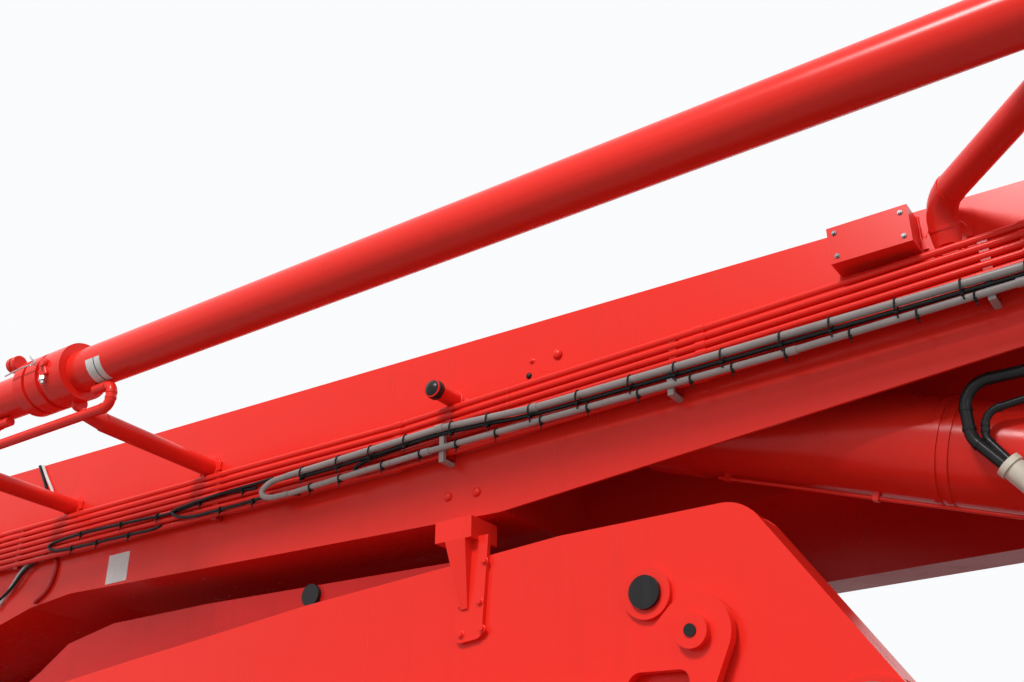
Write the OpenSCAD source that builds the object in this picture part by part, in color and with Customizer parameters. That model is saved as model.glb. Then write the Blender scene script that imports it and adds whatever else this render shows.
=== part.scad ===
// Folded placing boom of a concrete pump: four box arms, lift cylinder, fold cylinders and delivery line.
// X runs along the folded arms towards the base pin, Y across them, Z up.
// The origin is the base pin's centre.
// Side outlines are drawn in X and Z, and slab() gives them their place across the boom.

/* [Main arm] */
// Base pin to the second arm's hinge, along the arm
reach_1 = 7400; // [7000:50:7800]
// How far the second arm's hinge hangs below the base pin
drop_1 = 800; // [780:10:860]
// Width over the side plates
arm_1_width = 450; // [420:5:470]
// Thickness of the side plates
arm_1_wall = 8; // [6:1:12]
// Thickness of the top and bottom flanges
arm_1_flange = 12; // [8:1:16]
// Top edge above the base pin, at the pin
arm_1_crown = 138; // [120:2:150]
// Radius of the bearing bosses at both ends
boss_1_r = 150; // [140:5:165]
// Radius of the base pin's bore
base_bore_r = 60; // [50:1:70]

/* [Second arm] */
// Hinge to hinge along the second arm
reach_2 = 5650; // [5500:25:5800]
// Width of the box
arm_2_width = 344; // [320:4:360]
// Thickness of its plates
arm_2_wall = 8; // [6:1:10]
// Width over the cheeks at the third arm's hinge
cheek_width = 504; // [496:2:510]
// Thickness of the cheeks
cheek_wall = 20; // [15:1:25]

/* [Third arm] */
// Hinge to hinge along the third arm
reach_3 = 5150; // [5000:25:5300]
// Centre of the third and fourth arms, beside the first two
side_shift = 420; // [420:2:440]
// Width of the third arm's box
arm_3_width = 250; // [240:2:250]
// Thickness of its plates
arm_3_wall = 7; // [5:1:10]
// Outer radius of the tube that the third arm turns on
hinge_tube_r = 96; // [90:1:100]

/* [Fourth arm] */
// Hinge to tip along the fourth arm
reach_4 = 6250; // [6000:50:6400]
// Width of the box
arm_4_width = 130; // [116:2:134]
// Width over its sleeve on the hinge
sleeve_4_width = 200; // [190:2:206]
// Depth of the box
arm_4_depth = 330; // [300:5:340]
// Thickness of its plates
arm_4_wall = 6; // [4:1:8]

/* [Lift cylinder] */
// Outer radius of the barrel
lift_barrel_r = 130; // [115:1:140]
// Radius of the rod
lift_rod_r = 85; // [70:1:95]
// Rod eye to base eye when closed
lift_closed = 2300; // [2250:10:2400]
// Slope of the cylinder below the arm, in degrees
lift_slope = 18.8; // [17:0.1:20]
// Rod eye's distance from the base pin
lift_eye_x = 2562; // [2500:5:2620]
// Radius of the pins through its two eyes
lift_pin_r = 50; // [40:1:60]

/* [Fold linkage] */
// Hinge to rocker pivot, along the arm
pivot_dx = 261; // [250:1:270]
// Hinge to rocker pivot, across the arm
pivot_dz = 195; // [190:1:205]
// Hinge to the link's pin on the folding arm
horn_len = 298; // [290:1:305]
// Length of the rocker
rocker_len = 525; // [515:1:535]
// Length of the link
link_len = 583; // [575:1:595]
// Radius of the linkage pins
link_pin_r = 32; // [26:1:38]
// Radius of the hinge pins between arms
hinge_pin_r = 55; // [45:1:65]

/* [Delivery line] */
// Outer radius of the pipe
pipe_r = 66.5; // [60:0.5:72]
// Thickness of its wall
pipe_wall = 4.5; // [3:0.5:6]
// Radius of the elbows' centre line
elbow_r = 120; // [115:1:135]
// Pipe centre outward from the first arm's side
pipe_out = 521; // [515:1:540]
// Pipe centre above the base pin
pipe_up = 207; // [190:1:220]
// Outer radius of the clamp couplings
clamp_r = 93; // [88:1:98]

/* [Fittings] */
// Outer radius of the pipe struts
strut_r = 30; // [24:1:36]
// Outer radius of the bent strut
bent_strut_r = 36; // [30:1:38]
// Outer radius of one hydraulic tube
hyd_r = 9; // [7:0.5:11]
// Distance between neighbouring hydraulic tubes
hyd_pitch = 23; // [20:1:26]
// Running clearance round pins
pin_gap = 0.3; // [0.2:0.05:0.5]
// Clearance between neighbouring moving pieces
side_gap = 6; // [5:0.5:8]

/* [Hidden] */
$fn = 48;

red = "#d8281e";
deep_red = "#a31a16";
grey = "#55575a";
steel = "#c9ccd0";
black = "#1c1c1e";

// Half widths across the boom
half_1 = arm_1_width / 2;
half_2 = arm_2_width / 2;
half_3 = arm_3_width / 2;
half_4 = arm_4_width / 2;
sleeve_4 = sleeve_4_width / 2;
cheek_y = cheek_width / 2;

// Hinges, as [x, z]
base = [0, 0];
hinge_2 = [-reach_1, -drop_1];
hinge_3 = hinge_2 + [reach_2, -220];
hinge_4 = hinge_3 + [-reach_3, 620];
tip_4 = hinge_4 + [reach_4, -20];

// Vectors in the side view
function polar(r, a) = [r * cos(a), r * sin(a)];
function angle_of(v) = atan2(v[1], v[0]);
function unit(v) = v / norm(v);
// The angle of a triangle between its sides a and d, across from its side b
function corner_at(a, d, b) = acos((a * a + d * d - b * b) / (2 * a * d));
// The point at a from p and at b from q, on the given side of the line from p to q
function meet(p, a, q, b, side) =
    p + polar(a, angle_of(q - p) + side * corner_at(a, norm(q - p), b));

// Fold linkage of the second arm: the rocker's pivot, the link's pin, the rocker's tip, the cylinder's base
horn_angle = 251;
pivot_2 = hinge_2 + [pivot_dx, pivot_dz];
horn_2 = hinge_2 + polar(horn_len, horn_angle);
crank_2 = meet(pivot_2, rocker_len, horn_2, link_len, -1);
fold_2_base = hinge_2 + [2000, 560];

// The fourth arm's linkage is the same one, smaller and upside down
small = 0.75;
pivot_4 = hinge_4 + small * [pivot_dx, -pivot_dz];
horn_4 = hinge_4 + polar(small * horn_len, -horn_angle);
crank_4 = meet(pivot_4, small * rocker_len, horn_4, small * link_len, 1);
fold_4_base = hinge_4 + small * [2000, -560];

// Places across each knuckle, as [inner face, outer face] from its middle
function rod_slab(k) = [0, 45 * k];
function link_slab(k) = [60, 84] * k;
function plate_slab(k) = [84 * k + side_gap, 84 * k + side_gap + 28 * k];

// First arm's edges, as [x, z] from the tip to the base
slope_1 = 0.0242;
function top_1(x) = arm_1_crown - slope_1 * x;
crest_x = -reach_1 + 1200;
nose = hinge_2 + [150, 830];
belly_1 = [
    hinge_2 + [550, 160], hinge_2 + [2428, 449], hinge_2 + [2597, 488], hinge_2 + [2821, 508],
    hinge_2 + [3136, 498], [-2715, -347], [-1375, -240], [-60, -140]
];
function belly_at(x) = lookup(x, belly_1);
box_start = -2700;
lift_eye = [-lift_eye_x, -16];
lift_dir = [cos(lift_slope), -sin(lift_slope)];
lift_foot = lift_eye + lift_closed * lift_dir;
lift_eye_half = 55;

// Second arm's edges, as [x, z] from the hinge to the cheeks
roof_2 = [
    hinge_2 + [500, 155], hinge_2 + [2450, 160], hinge_2 + [2653, 263], hinge_2 + [2787, 344],
    hinge_2 + [3022, 385], hinge_2 + [3488, 385], hinge_3 + [-1170, 578], hinge_3 + [-350, 542]
];
floor_2 = hinge_3[1] + 65;
box_2_end = hinge_3[0] - 350;
cheek_start = hinge_3[0] - 2950;
cheek_crown = hinge_3[1] + 561;
cheek_foot = [hinge_3[0] - 550, floor_2];
cheek_top = [
    hinge_3 + [-2950, 386], hinge_3 + [-2398, 439], hinge_3 + [-2067, 468], hinge_3 + [-1646, 507],
    hinge_3 + [-1109, 539], [hinge_3[0] - 756, cheek_crown], [hinge_3[0] - 334, cheek_crown]
];
cheek_corner_r = 110;

// Third and fourth arms' edges
roof_3 = [hinge_4 + [620, -200], hinge_4 + [700, -205], hinge_3 + [-550, 170], hinge_3 + [0, 150]];
floor_3 = [hinge_4 + [300, -560], hinge_4 + [420, -570], hinge_4 + [1500, -660], hinge_3 + [0, -150]];

// Delivery line, as [x, y, z]
// A swivel's elbow and its short leg, out from the line's own middle
swivel_leg = elbow_r + 44;
pipe_1_y = -half_1 - pipe_out;
pipe_2_y = pipe_1_y + 2 * swivel_leg;
pipe_3_y = side_shift + half_3 + swivel_leg + 40;
pipe_4_y = pipe_3_y + 2 * swivel_leg;
swivel_2_y = pipe_1_y + swivel_leg;
swivel_3_y = pipe_3_y - swivel_leg;
swivel_4_y = pipe_3_y + swivel_leg;

// Draws a side outline between two places across the boom
module slab(y0, y1) {
    translate([0, y1, 0]) rotate([90, 0, 0]) linear_extrude(y1 - y0) children();
}

// The same outline on both sides of a middle plane
module twin_slabs(inner, outer, mid = 0) {
    slab(mid + inner, mid + outer) children();
    slab(mid - outer, mid - inner) children();
}

// A round bar across the boom at a side-view point
module cross_pin(p, r, y0, y1) {
    translate([p[0], y1, p[1]]) rotate([90, 0, 0]) cylinder(h = y1 - y0, r = r);
}

module twin_pins(p, r, inner, outer, mid = 0) {
    cross_pin(p, r, mid + inner, mid + outer);
    cross_pin(p, r, mid - outer, mid - inner);
}

module disc(p, r) {
    translate(p) circle(r);
}

// Two discs and the straight tangents between them
module bar(p, rp, q, rq) {
    d = norm(q - p);
    lean = asin((rp - rq) / d);
    a = angle_of(q - p);
    disc(p, rp);
    disc(q, rq);
    polygon([
        p + polar(rp, a + 90 - lean), p + polar(rp, a - 90 + lean),
        q + polar(rq, a - 90 + lean), q + polar(rq, a + 90 - lean)
    ]);
}

// A strip of even height hung under, or stood on, an edge
module strip(edge, t) {
    polygon(concat(edge, [for (i = [len(edge) - 1 : -1 : 0]) edge[i] + [0, t]]));
}

// A round bar from point to point in space
module rod_between(p, q, r) {
    d = q - p;
    translate(p) rotate([0, acos(d[2] / norm(d)), atan2(d[1], d[0])]) cylinder(h = norm(d), r = r);
}

// An elbow at corner b on the way from a to c
module elbow(a, b, c, bend) {
    u = unit(a - b);
    w = unit(c - b);
    turn = 180 - acos(u * w);
    mid = b + unit(u + w) * bend / cos(turn / 2);
    x = unit(b + u * bend * tan(turn / 2) - mid);
    z = cross(x, -u);
    y = -u;
    multmatrix([
        [x[0], y[0], z[0], mid[0]], [x[1], y[1], z[1], mid[1]], [x[2], y[2], z[2], mid[2]], [0, 0, 0, 1]
    ]) rotate_extrude(angle = turn) translate([bend, 0]) children();
}

function set_back(a, b, c, bend) =
    bend * tan((180 - acos(unit(a - b) * unit(c - b))) / 2);

// One leg of a route, short of the elbows at its ends
function leg_start(pts, i, bend) =
    pts[i] + unit(pts[i + 1] - pts[i])
        * (i == 0 ? 0 : set_back(pts[i - 1], pts[i], pts[i + 1], bend) + 0.4);
function leg_end(pts, i, bend) =
    pts[i + 1] - unit(pts[i + 1] - pts[i])
        * (i == len(pts) - 2 ? 0 : set_back(pts[i], pts[i + 1], pts[i + 2], bend) + 0.4);

// The weld beads where a route's legs meet its elbows
module beads(pts, bend, r, half) {
    for (i = [0 : len(pts) - 2]) {
        u = unit(pts[i + 1] - pts[i]);
        first = leg_start(pts, i, bend);
        last = leg_end(pts, i, bend);
        if (i > 0) rod_between(first - u * half, first + u * half, r);
        if (i < len(pts) - 2) rod_between(last - u * half, last + u * half, r);
    }
}

// A round bar along a route, bent at each inner point
module route(pts, bend, r) {
    for (i = [0 : len(pts) - 2]) rod_between(leg_start(pts, i, bend), leg_end(pts, i, bend), r);
    for (i = [1 : 1 : len(pts) - 2]) elbow(pts[i - 1], pts[i], pts[i + 1], bend) circle(r);
    beads(pts, bend, r + 1.5, 4);
}

module tube(p, q, r, wall) {
    u = unit(q - p);
    difference() {
        rod_between(p, q, r);
        rod_between(p - u, q + u, r - wall);
    }
}

// The delivery pipe along a route: tubes, elbows, and a flange ring round each joint
module pipe(pts) {
    for (i = [0 : len(pts) - 2])
        tube(leg_start(pts, i, elbow_r), leg_end(pts, i, elbow_r), pipe_r, pipe_wall);
    for (i = [1 : 1 : len(pts) - 2])
        elbow(pts[i - 1], pts[i], pts[i + 1], elbow_r) difference() {
            circle(pipe_r);
            circle(pipe_r - pipe_wall);
        }
    difference() {
        beads(pts, elbow_r, pipe_r + 4, 6);
        beads(pts, elbow_r, pipe_r - pipe_wall + 1.2, 7);
    }
}

// A clamp coupling: bands on the pipe with grooves between them, as [start, end] along it
module clamp(at, dir, bands = [[-34, -5], [5, 34]]) {
    u = unit(dir);
    first = bands[0][0];
    last = bands[len(bands) - 1][1];
    difference() {
        union() {
            for (b = bands) rod_between(at + u * b[0], at + u * b[1], clamp_r);
            rod_between(at + u * (first + 4), at + u * (last - 4), clamp_r - 9);
        }
        rod_between(at + u * (first - 1), at + u * (last + 1), pipe_r + pin_gap);
    }
}

// First arm

module arm_1_outline() {
    polygon(concat(
        [[0, top_1(0)], [crest_x, top_1(crest_x)], nose, hinge_2 + [75, 700], hinge_2 + [75, 200],
         hinge_2 + [-60, 0], hinge_2 + [60, -60], hinge_2 + [140, 55], hinge_2 + [300, 150]],
        belly_1
    ));
    disc(base, boss_1_r);
    disc(hinge_2, boss_1_r);
    disc(pivot_2, 95);
}

module arm_1_box() {
    top_edge = [[crest_x, top_1(crest_x)], [-180, top_1(-180)]];
    nose_edge = [nose, [crest_x, top_1(crest_x)]];
    floor_edge = concat([for (p = belly_1) if (p[0] < box_start) p], [[box_start, belly_at(box_start)]]);
    inner = half_1 - arm_1_wall;
    color(red) difference() {
        union() {
            twin_slabs(inner, half_1) arm_1_outline();
            slab(-inner, inner) {
                strip(top_edge, -arm_1_flange);
                strip(nose_edge, -arm_1_flange);
                strip(floor_edge, arm_1_flange);
            }
            // Closing plate of the box above the lift cylinder's rod eye
            slab(-inner, inner) polygon([
                [box_start - 12, belly_at(box_start) + 6], [box_start, belly_at(box_start) + 6],
                [box_start, top_1(box_start) - 6], [box_start - 12, top_1(box_start) - 6]
            ]);
            cross_pin(base, boss_1_r - 20, -half_1 - 20, half_1 + 20);
            twin_pins(hinge_2, boss_1_r - 20, half_2 + side_gap, half_1 + 20);
            twin_pins(pivot_2, 75, inner - 30, half_1 + 15);
            twin_pins(lift_eye, lift_pin_r + 35, inner - 20, half_1 + 3);
        }
        cross_pin(base, base_bore_r, -half_1 - 40, half_1 + 40);
        cross_pin(hinge_2, hinge_pin_r + pin_gap, -half_1 - 40, half_1 + 40);
        cross_pin(pivot_2, link_pin_r + pin_gap, -half_1 - 40, half_1 + 40);
        cross_pin(fold_2_base, link_pin_r + pin_gap, -half_1 - 40, half_1 + 40);
        cross_pin(lift_eye, lift_pin_r + pin_gap, -half_1 - 40, half_1 + 40);
    }
}

module arm_1_lift_lug() {
    inner = half_1 - arm_1_wall;
    seat = arm_1_flange + pin_gap;
    color(red) difference() {
        twin_slabs(lift_eye_half + side_gap, lift_eye_half + side_gap + 30) {
            disc(lift_eye, 105);
            polygon([
                lift_eye + [-105, 0], lift_eye + [105, 0],
                [-lift_eye_x + 110, top_1(-lift_eye_x + 110) - seat],
                [box_start + pin_gap, top_1(box_start) - seat], [box_start + pin_gap, 30]
            ]);
        }
        cross_pin(lift_eye, lift_pin_r + pin_gap, -inner, inner);
    }
}

// The pin is flush with its bosses
module lift_eye_pin() {
    color(deep_red) cross_pin(lift_eye, lift_pin_r, -half_1 - 3, half_1 + 3);
}

module arm_1_pins() {
    color(black) {
        cross_pin(hinge_2, hinge_pin_r, -half_1 - 20, half_1 + 20);
        twin_pins(hinge_2, hinge_pin_r + 14, half_1 + 20, half_1 + 34);
        cross_pin(pivot_2, link_pin_r, -half_1 - 15, half_1 + 15);
        twin_pins(pivot_2, link_pin_r + 12, half_1 + 15, half_1 + 27);
        cross_pin(fold_2_base, link_pin_r, -half_1, half_1);
        twin_pins(fold_2_base, link_pin_r + 12, half_1, half_1 + 12);
    }
}

// Delivery line of the first arm, from its inlet to the swivel on the second arm's hinge
line_1_start = 250;
line_1_joint = -4067;
line_1_bands = [[-118, -73], [-58, -3], [17, 117]];
line_1 = [
    [line_1_start, pipe_1_y, pipe_up], [hinge_2[0] + 620, pipe_1_y, pipe_up],
    [hinge_2[0], pipe_1_y, hinge_2[1] + 420], [hinge_2[0], pipe_1_y, hinge_2[1]],
    [hinge_2[0], swivel_2_y - 0.5, hinge_2[1]]
];

module line_1_pipe() {
    color(red) pipe(line_1);
}

module line_1_clamps() {
    color(red) {
        clamp([line_1_joint, pipe_1_y, pipe_up], [1, 0, 0], line_1_bands);
        clamp([-560, pipe_1_y, pipe_up], [1, 0, 0]);
        clamp([hinge_2[0], swivel_2_y, hinge_2[1]], [0, 1, 0]);
    }
}

// Struts under the line: [x, foot z, end z]
straight_struts = [[-4640, 38, 48], [-3909, 34, 48], [hinge_2[0] + 1250, 40, 48]];
bent_foot = [-1434, 79];
bent_rise = 75;
foot_cut = 28;
bent_out = 40;
bent_along = 475;
cradle_r = 16;
cradle_right = 118;
cradle_left = 480;

// A bent rod under the pipe: along below it, round at both ends and back up to its underside
module cradle(x, z) {
    up = pipe_up - pipe_r - cradle_r - 1.5 - pin_gap;
    route([
        [x - cradle_left + 84, pipe_1_y, up], [x - cradle_left, pipe_1_y, up],
        [x - cradle_left, pipe_1_y, z], [x + cradle_right, pipe_1_y, z],
        [x + cradle_right, pipe_1_y, up], [x + 34, pipe_1_y, up]
    ], 28, cradle_r);
}

// A strut's taper onto the bent rod
module taper(p, q, r0, r1) {
    d = q - p;
    translate(p) rotate([0, acos(d[2] / norm(d)), atan2(d[1], d[0])])
        cylinder(h = norm(d), r1 = r0, r2 = r1);
}

// A foot pad of a strut on the side plate
module strut_foot(x, z, r) {
    translate([x, -half_1, z]) rotate([90, 0, 0]) cylinder(h = 8, r = r + 10);
    translate([x - r - 22, -half_1 - 8, z - 14]) cube([2 * r + 44, 8, 28]);
}

module line_1_struts() {
    color(red) {
        for (s = straight_struts) {
            far = [s[0], -half_1 - 2, s[1]];
            near = [s[0], pipe_1_y + 70, s[2]];
            rod_between(far, near, strut_r);
            taper(near - 8 * unit(near - far), near + 76 * unit(near - far), strut_r - 1, cradle_r + 3);
            strut_foot(s[0], s[1], strut_r);
            cradle(s[0], s[2]);
        }
        foot = [bent_foot[0], -half_1, bent_foot[1]];
        bend = foot + [0, -bent_out, bent_rise];
        reach = [bend[0] + bent_along, pipe_1_y, bend[2]];
        difference() {
            route([foot - unit(bend - foot) * 60, bend, reach], 85, bent_strut_r);
            rod_between([line_1_start, pipe_1_y, pipe_up], [-2000, pipe_1_y, pipe_up], pipe_r + pin_gap);
            translate([foot[0] - 150, -half_1, foot[2] - 150]) cube([300, 200, 300]);
            translate([foot[0] - 150, -half_1 - 300, foot[2] - 250]) cube([300, 301, 250 - foot_cut]);
        }
        strut_foot(foot[0], foot[2] - 3, bent_strut_r);
    }
}

console = [[-1692, 55], [-1495, 155]];
console_out = 77;
console_wall = 9;

// A box on the side plate, open only where it sits on it
module strut_console() {
    size = console[1] - console[0];
    color(red) translate([console[0][0], -half_1 - console_out, console[0][1]]) difference() {
        cube([size[0], console_out, size[1]]);
        translate([console_wall, console_wall, console_wall])
            cube([size[0] - 2 * console_wall, console_out, size[1] - 2 * console_wall]);
    }
}

// Hydraulic tubes along the side, as a bundle that follows the arm's bends: [x, z of the top tube]
tube_line = [
    [hinge_2[0] + 500, -300], [hinge_2[0] + 1100, -20], [-5055, -2], [-3064, -15], [-2068, 13],
    [-1263, 41], [-300, 68]
];
tube_count = 7;
tube_out = 26;

// A thin tube along a slightly bent line, with a ferrule over each bend: [x, z] points
module side_tube(line, y, dz, r) {
    for (i = [0 : len(line) - 2]) {
        p = [line[i][0], y, line[i][1] + dz];
        q = [line[i + 1][0], y, line[i + 1][1] + dz];
        rod_between(p, q, r);
        if (i > 0) rod_between(p - [14, 0, 0], p + [14, 0, 0], r + 2);
    }
}

module hydraulic_tubes(more = 0) {
    color(red) for (i = [0 : tube_count - 1])
        side_tube(tube_line, -half_1 - tube_out, -i * hyd_pitch, hyd_r + more);
}

tube_clamp_x = [-5850, -4900, -3835, -2880, -2150, -1357, -420];
tube_clamp_w = 22;

// A comb on the plate that the tubes lie in
module tube_clamps() {
    tall = (tube_count - 1) * hyd_pitch + hyd_r + 11;
    color(deep_red) for (x = tube_clamp_x) {
        top = lookup(x, tube_line);
        difference() {
            translate([x - tube_clamp_w / 2, -half_1 - tube_out - 3, top + 2 - tall])
                cube([tube_clamp_w, tube_out + 3, tall]);
            hydraulic_tubes(pin_gap);
        }
    }
}

// Two cable conduits before the tubes, as [x, z] points of their own, on brackets from the plate
conduit_r = 10;
conduit_2_r = 9;
conduit_out = 62;
conduit_line = [[-3480, -100], [-2880, -82], [-2560, -98], [-1263, -80], [-300, -52]];
conduit_2_line = [[-3480, -160], [-2932, -142], [-1822, -132], [-1286, -114], [-300, -86]];
bracket_out = 54;
bracket_drop = 172;

module cable_conduits() {
    color(grey) {
        side_tube(conduit_line, -half_1 - conduit_out, 0, conduit_r);
        side_tube(conduit_2_line, -half_1 - conduit_out + 4, 0, conduit_2_r);
        for (x = tube_clamp_x) if (x > conduit_line[0][0]) {
            foot = lookup(x, tube_line) - bracket_drop;
            translate([x - 8, -half_1 - bracket_out, foot]) cube([16, bracket_out, 10]);
            translate([x - 8, -half_1 - bracket_out, foot]) cube([16, 12, lookup(x, conduit_line) - foot]);
        }
    }
}

stub_at = [-2876, 25];
stub_len = 112;
module capped_stub() {
    color(red) translate([stub_at[0], -half_1, stub_at[1]]) rotate([90, 0, 0])
        cylinder(h = stub_len - 22, r = 24);
    color(black) translate([stub_at[0], -half_1 - stub_len + 22, stub_at[1]]) rotate([90, 0, 0])
        cylinder(h = 22, r = 27);
}

// Lift cylinder

// Turns a shape drawn along +X from the rod eye into the cylinder's slope
module along_lift() {
    translate([lift_eye[0], 0, lift_eye[1]]) rotate([0, lift_slope, 0]) children();
}

gland = 300;
collar_x = [1047, 1075];
collar_w = 14;
collar_h = 4;
module lift_rod() {
    color(steel) along_lift() difference() {
        union() {
            rotate([90, 0, 0]) translate([0, 0, -lift_eye_half])
                cylinder(h = 2 * lift_eye_half, r = lift_pin_r + 45);
            rotate([0, 90, 0]) cylinder(h = gland + 350, r = lift_rod_r);
            translate([40, 0, 0]) rotate([0, 90, 0]) cylinder(h = 120, r = lift_rod_r + 8);
        }
        rotate([90, 0, 0]) translate([0, 0, -200]) cylinder(h = 400, r = lift_pin_r + pin_gap);
        for (s = [-1, 1]) translate([-200, s * (lift_eye_half + 100) - 100, -200]) cube([330, 200, 400]);
    }
}

module lift_barrel() {
    foot = lift_closed;
    bore_end = foot - 260;
    color(red) along_lift() difference() {
        union() {
            translate([gland, 0, 0]) rotate([0, 90, 0]) cylinder(h = foot - 130 - gland, r = lift_barrel_r);
            translate([gland - 40, 0, 0]) rotate([0, 90, 0]) cylinder(h = 150, r = lift_barrel_r + 8);
            for (x = collar_x) translate([x, 0, 0]) rotate([0, 90, 0])
                cylinder(h = collar_w, r = lift_barrel_r + collar_h);
            translate([foot, 0, 0]) rotate([90, 0, 0]) translate([0, 0, -70])
                cylinder(h = 140, r = lift_pin_r + 65);
            translate([foot - 170, 0, 0]) rotate([0, 90, 0]) cylinder(h = 100, r = 105);
        }
        translate([gland - 41, 0, 0]) rotate([0, 90, 0])
            cylinder(h = bore_end - gland + 41, r = lift_rod_r + pin_gap);
        translate([foot, 0, 0]) rotate([90, 0, 0]) translate([0, 0, -200])
            cylinder(h = 400, r = lift_pin_r);
    }
}

// A thin pipe close along the barrel's underside, held by strips and ended in a block
module lift_barrel_lines() {
    r = 5;
    z = -lift_barrel_r - collar_h - r - 1;
    color(red) along_lift() difference() {
        union() {
            rod_between([gland + 180, -20, z], [lift_closed - 330, -20, z], r);
            for (x = [gland + 200, 900, lift_closed - 360])
                translate([x, -31, z - r - 3]) cube([14, 22, 40]);
            translate([lift_closed - 420, -75, z - r - 4]) cube([80, 110, 70]);
        }
        rod_between([0, 0, 0], [lift_closed, 0, 0], lift_barrel_r + pin_gap);
    }
}

// Two hoses that loop on the barrel's near side, from its top to a fitting
fitting = [[-1414, -169, -472], [-1366, -159, -535]];
fitting_r = 27;
module barrel_hoses() {
    color(black) difference() {
        union() {
            route([
                [-1150, -90, -404], [-1190, -165, -268], [-1478, -170, -268], [-1478, -170, -398],
                [-1396, -170, -505]
            ], 62, 14);
            route([
                [-1230, -92, -377], [-1262, -160, -320], [-1440, -160, -340], [-1450, -160, -400],
                [-1390, -165, -492]
            ], 40, 9);
        }
        rod_between(lift_line(0), lift_line(lift_closed), lift_barrel_r + pin_gap);
        rod_between(fitting[0], 2 * fitting[1] - fitting[0], fitting_r + 8);
    }
}

function lift_line(d) = [lift_eye[0] + d * lift_dir[0], 0, lift_eye[1] + d * lift_dir[1]];

module hose_fitting() {
    color(steel) difference() {
        union() {
            rod_between(fitting[0], fitting[1], fitting_r);
            rod_between(fitting[0], fitting[0] + 0.18 * (fitting[1] - fitting[0]), fitting_r + 4);
            translate([-1385, -165, -560]) cube([50, 110, 45]);
        }
        rod_between(lift_line(0), lift_line(lift_closed), lift_barrel_r + pin_gap);
    }
}

// Second arm

module arm_2_outline() {
    polygon(concat(
        [hinge_2 + [0, -110]], [hinge_2 + [0, 110], hinge_2 + [240, 105]], roof_2,
        [[box_2_end, floor_2], [hinge_2[0] + 2900, floor_2], hinge_2 + [600, -130]]
    ));
    disc(hinge_2, 115);
}

module horn_outline() {
    bar(hinge_2, 112, horn_2, link_pin_r + 24);
}

module arm_2_box() {
    inner = half_2 - arm_2_wall;
    plate = plate_slab(1);
    bottom = [hinge_2 + [600, -130], [hinge_2[0] + 2900, floor_2], [box_2_end, floor_2]];
    end = [box_2_end, hinge_3[1] + 540];
    color(deep_red) difference() {
        union() {
            twin_slabs(inner, half_2) arm_2_outline();
            slab(-inner, inner) {
                strip(concat([hinge_2 + [240, 105]], roof_2), -10);
                strip(bottom, 10);
                polygon([end - [10, 0], end, [box_2_end, floor_2], [box_2_end - 10, floor_2]]);
            }
            cross_pin(hinge_2, 115, -half_2, half_2);
            twin_slabs(plate[0], plate[1]) horn_outline();
        }
        cross_pin(hinge_2, hinge_pin_r + pin_gap, -half_2 - 1, half_2 + 1);
    }
}

// Outer cheeks round the third arm's hinge. Each is a narrow box with its own end plate along the slanted
// edge, and the far one is set back
cheek_corner = [hinge_3[0] - 302, cheek_crown - cheek_corner_r];
cheek_nose_r = 118;
leg_inner = 120;
ledge_drop = 40;
far_back = 110;
edge_dir = [0.81, 0.59];
cheek_edge = [cheek_corner + cheek_corner_r * edge_dir, hinge_3 + cheek_nose_r * edge_dir];

module cheek_outline(back) {
    a = cheek_edge[0] - [back, 0];
    b = a + (back > 0 ? 0.76 : 1) * (cheek_edge[1] - cheek_edge[0]);
    polygon(concat(
        cheek_top,
        [cheek_corner + [-back, cheek_corner_r], cheek_corner + [80 - back, 76]],
        [a, b, hinge_3 + [0, 60], hinge_3, hinge_3 + [-90, -76], cheek_foot, [cheek_start + 90, floor_2]]
    ));
    disc(cheek_corner - [back, 0], cheek_corner_r);
    disc(hinge_3, cheek_nose_r);
}

// One cheek's box between two places across the boom
module cheek_leg(y0, y1, outer, back) {
    a = cheek_edge[0] - [back, 0];
    b = a + (back > 0 ? 0.76 : 0.9) * (cheek_edge[1] - cheek_edge[0]);
    slab(outer, outer + cheek_wall) cheek_outline(back);
    slab(y0, y1) {
        polygon([a, b, b - 12 * edge_dir, a - 12 * edge_dir]);
        strip([[box_2_end, cheek_crown], [cheek_corner[0] - back, cheek_crown]], -10);
        strip([cheek_foot, hinge_3 + [-90, -76]], 12);
    }
}

module arm_2_cheeks() {
    inner = cheek_y - cheek_wall;
    color(red) difference() {
        union() {
            cheek_leg(-inner, -leg_inner, -cheek_y, 0);
            cheek_leg(leg_inner, inner, inner, far_back);
            slab(-leg_inner - 12, -leg_inner) intersection() {
                cheek_outline(0);
                translate([box_2_end, hinge_3[1] - 280]) square([900, 1000]);
            }
            slab(leg_inner, leg_inner + 12) intersection() {
                cheek_outline(far_back);
                translate([box_2_end, hinge_3[1] - 280]) square([900, 1000]);
            }
            // Ledges that close the cheeks against the box
            twin_slabs(half_2, inner) {
                strip([for (p = cheek_top) p - [0, ledge_drop]], -10);
                strip([[cheek_start + 90, floor_2], cheek_foot], 10);
            }
            twin_pins(hinge_3, 126, leg_inner, cheek_y + 5);
        }
        cross_pin(hinge_3, hinge_tube_r + pin_gap, -cheek_y - 10, cheek_y + 10);
        // Room for the box between the cheeks
        twin_slabs(-1, half_2) translate([cheek_start - 100, floor_2 - 25])
            square([box_2_end - cheek_start + 100, 600]);
    }
}

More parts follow.
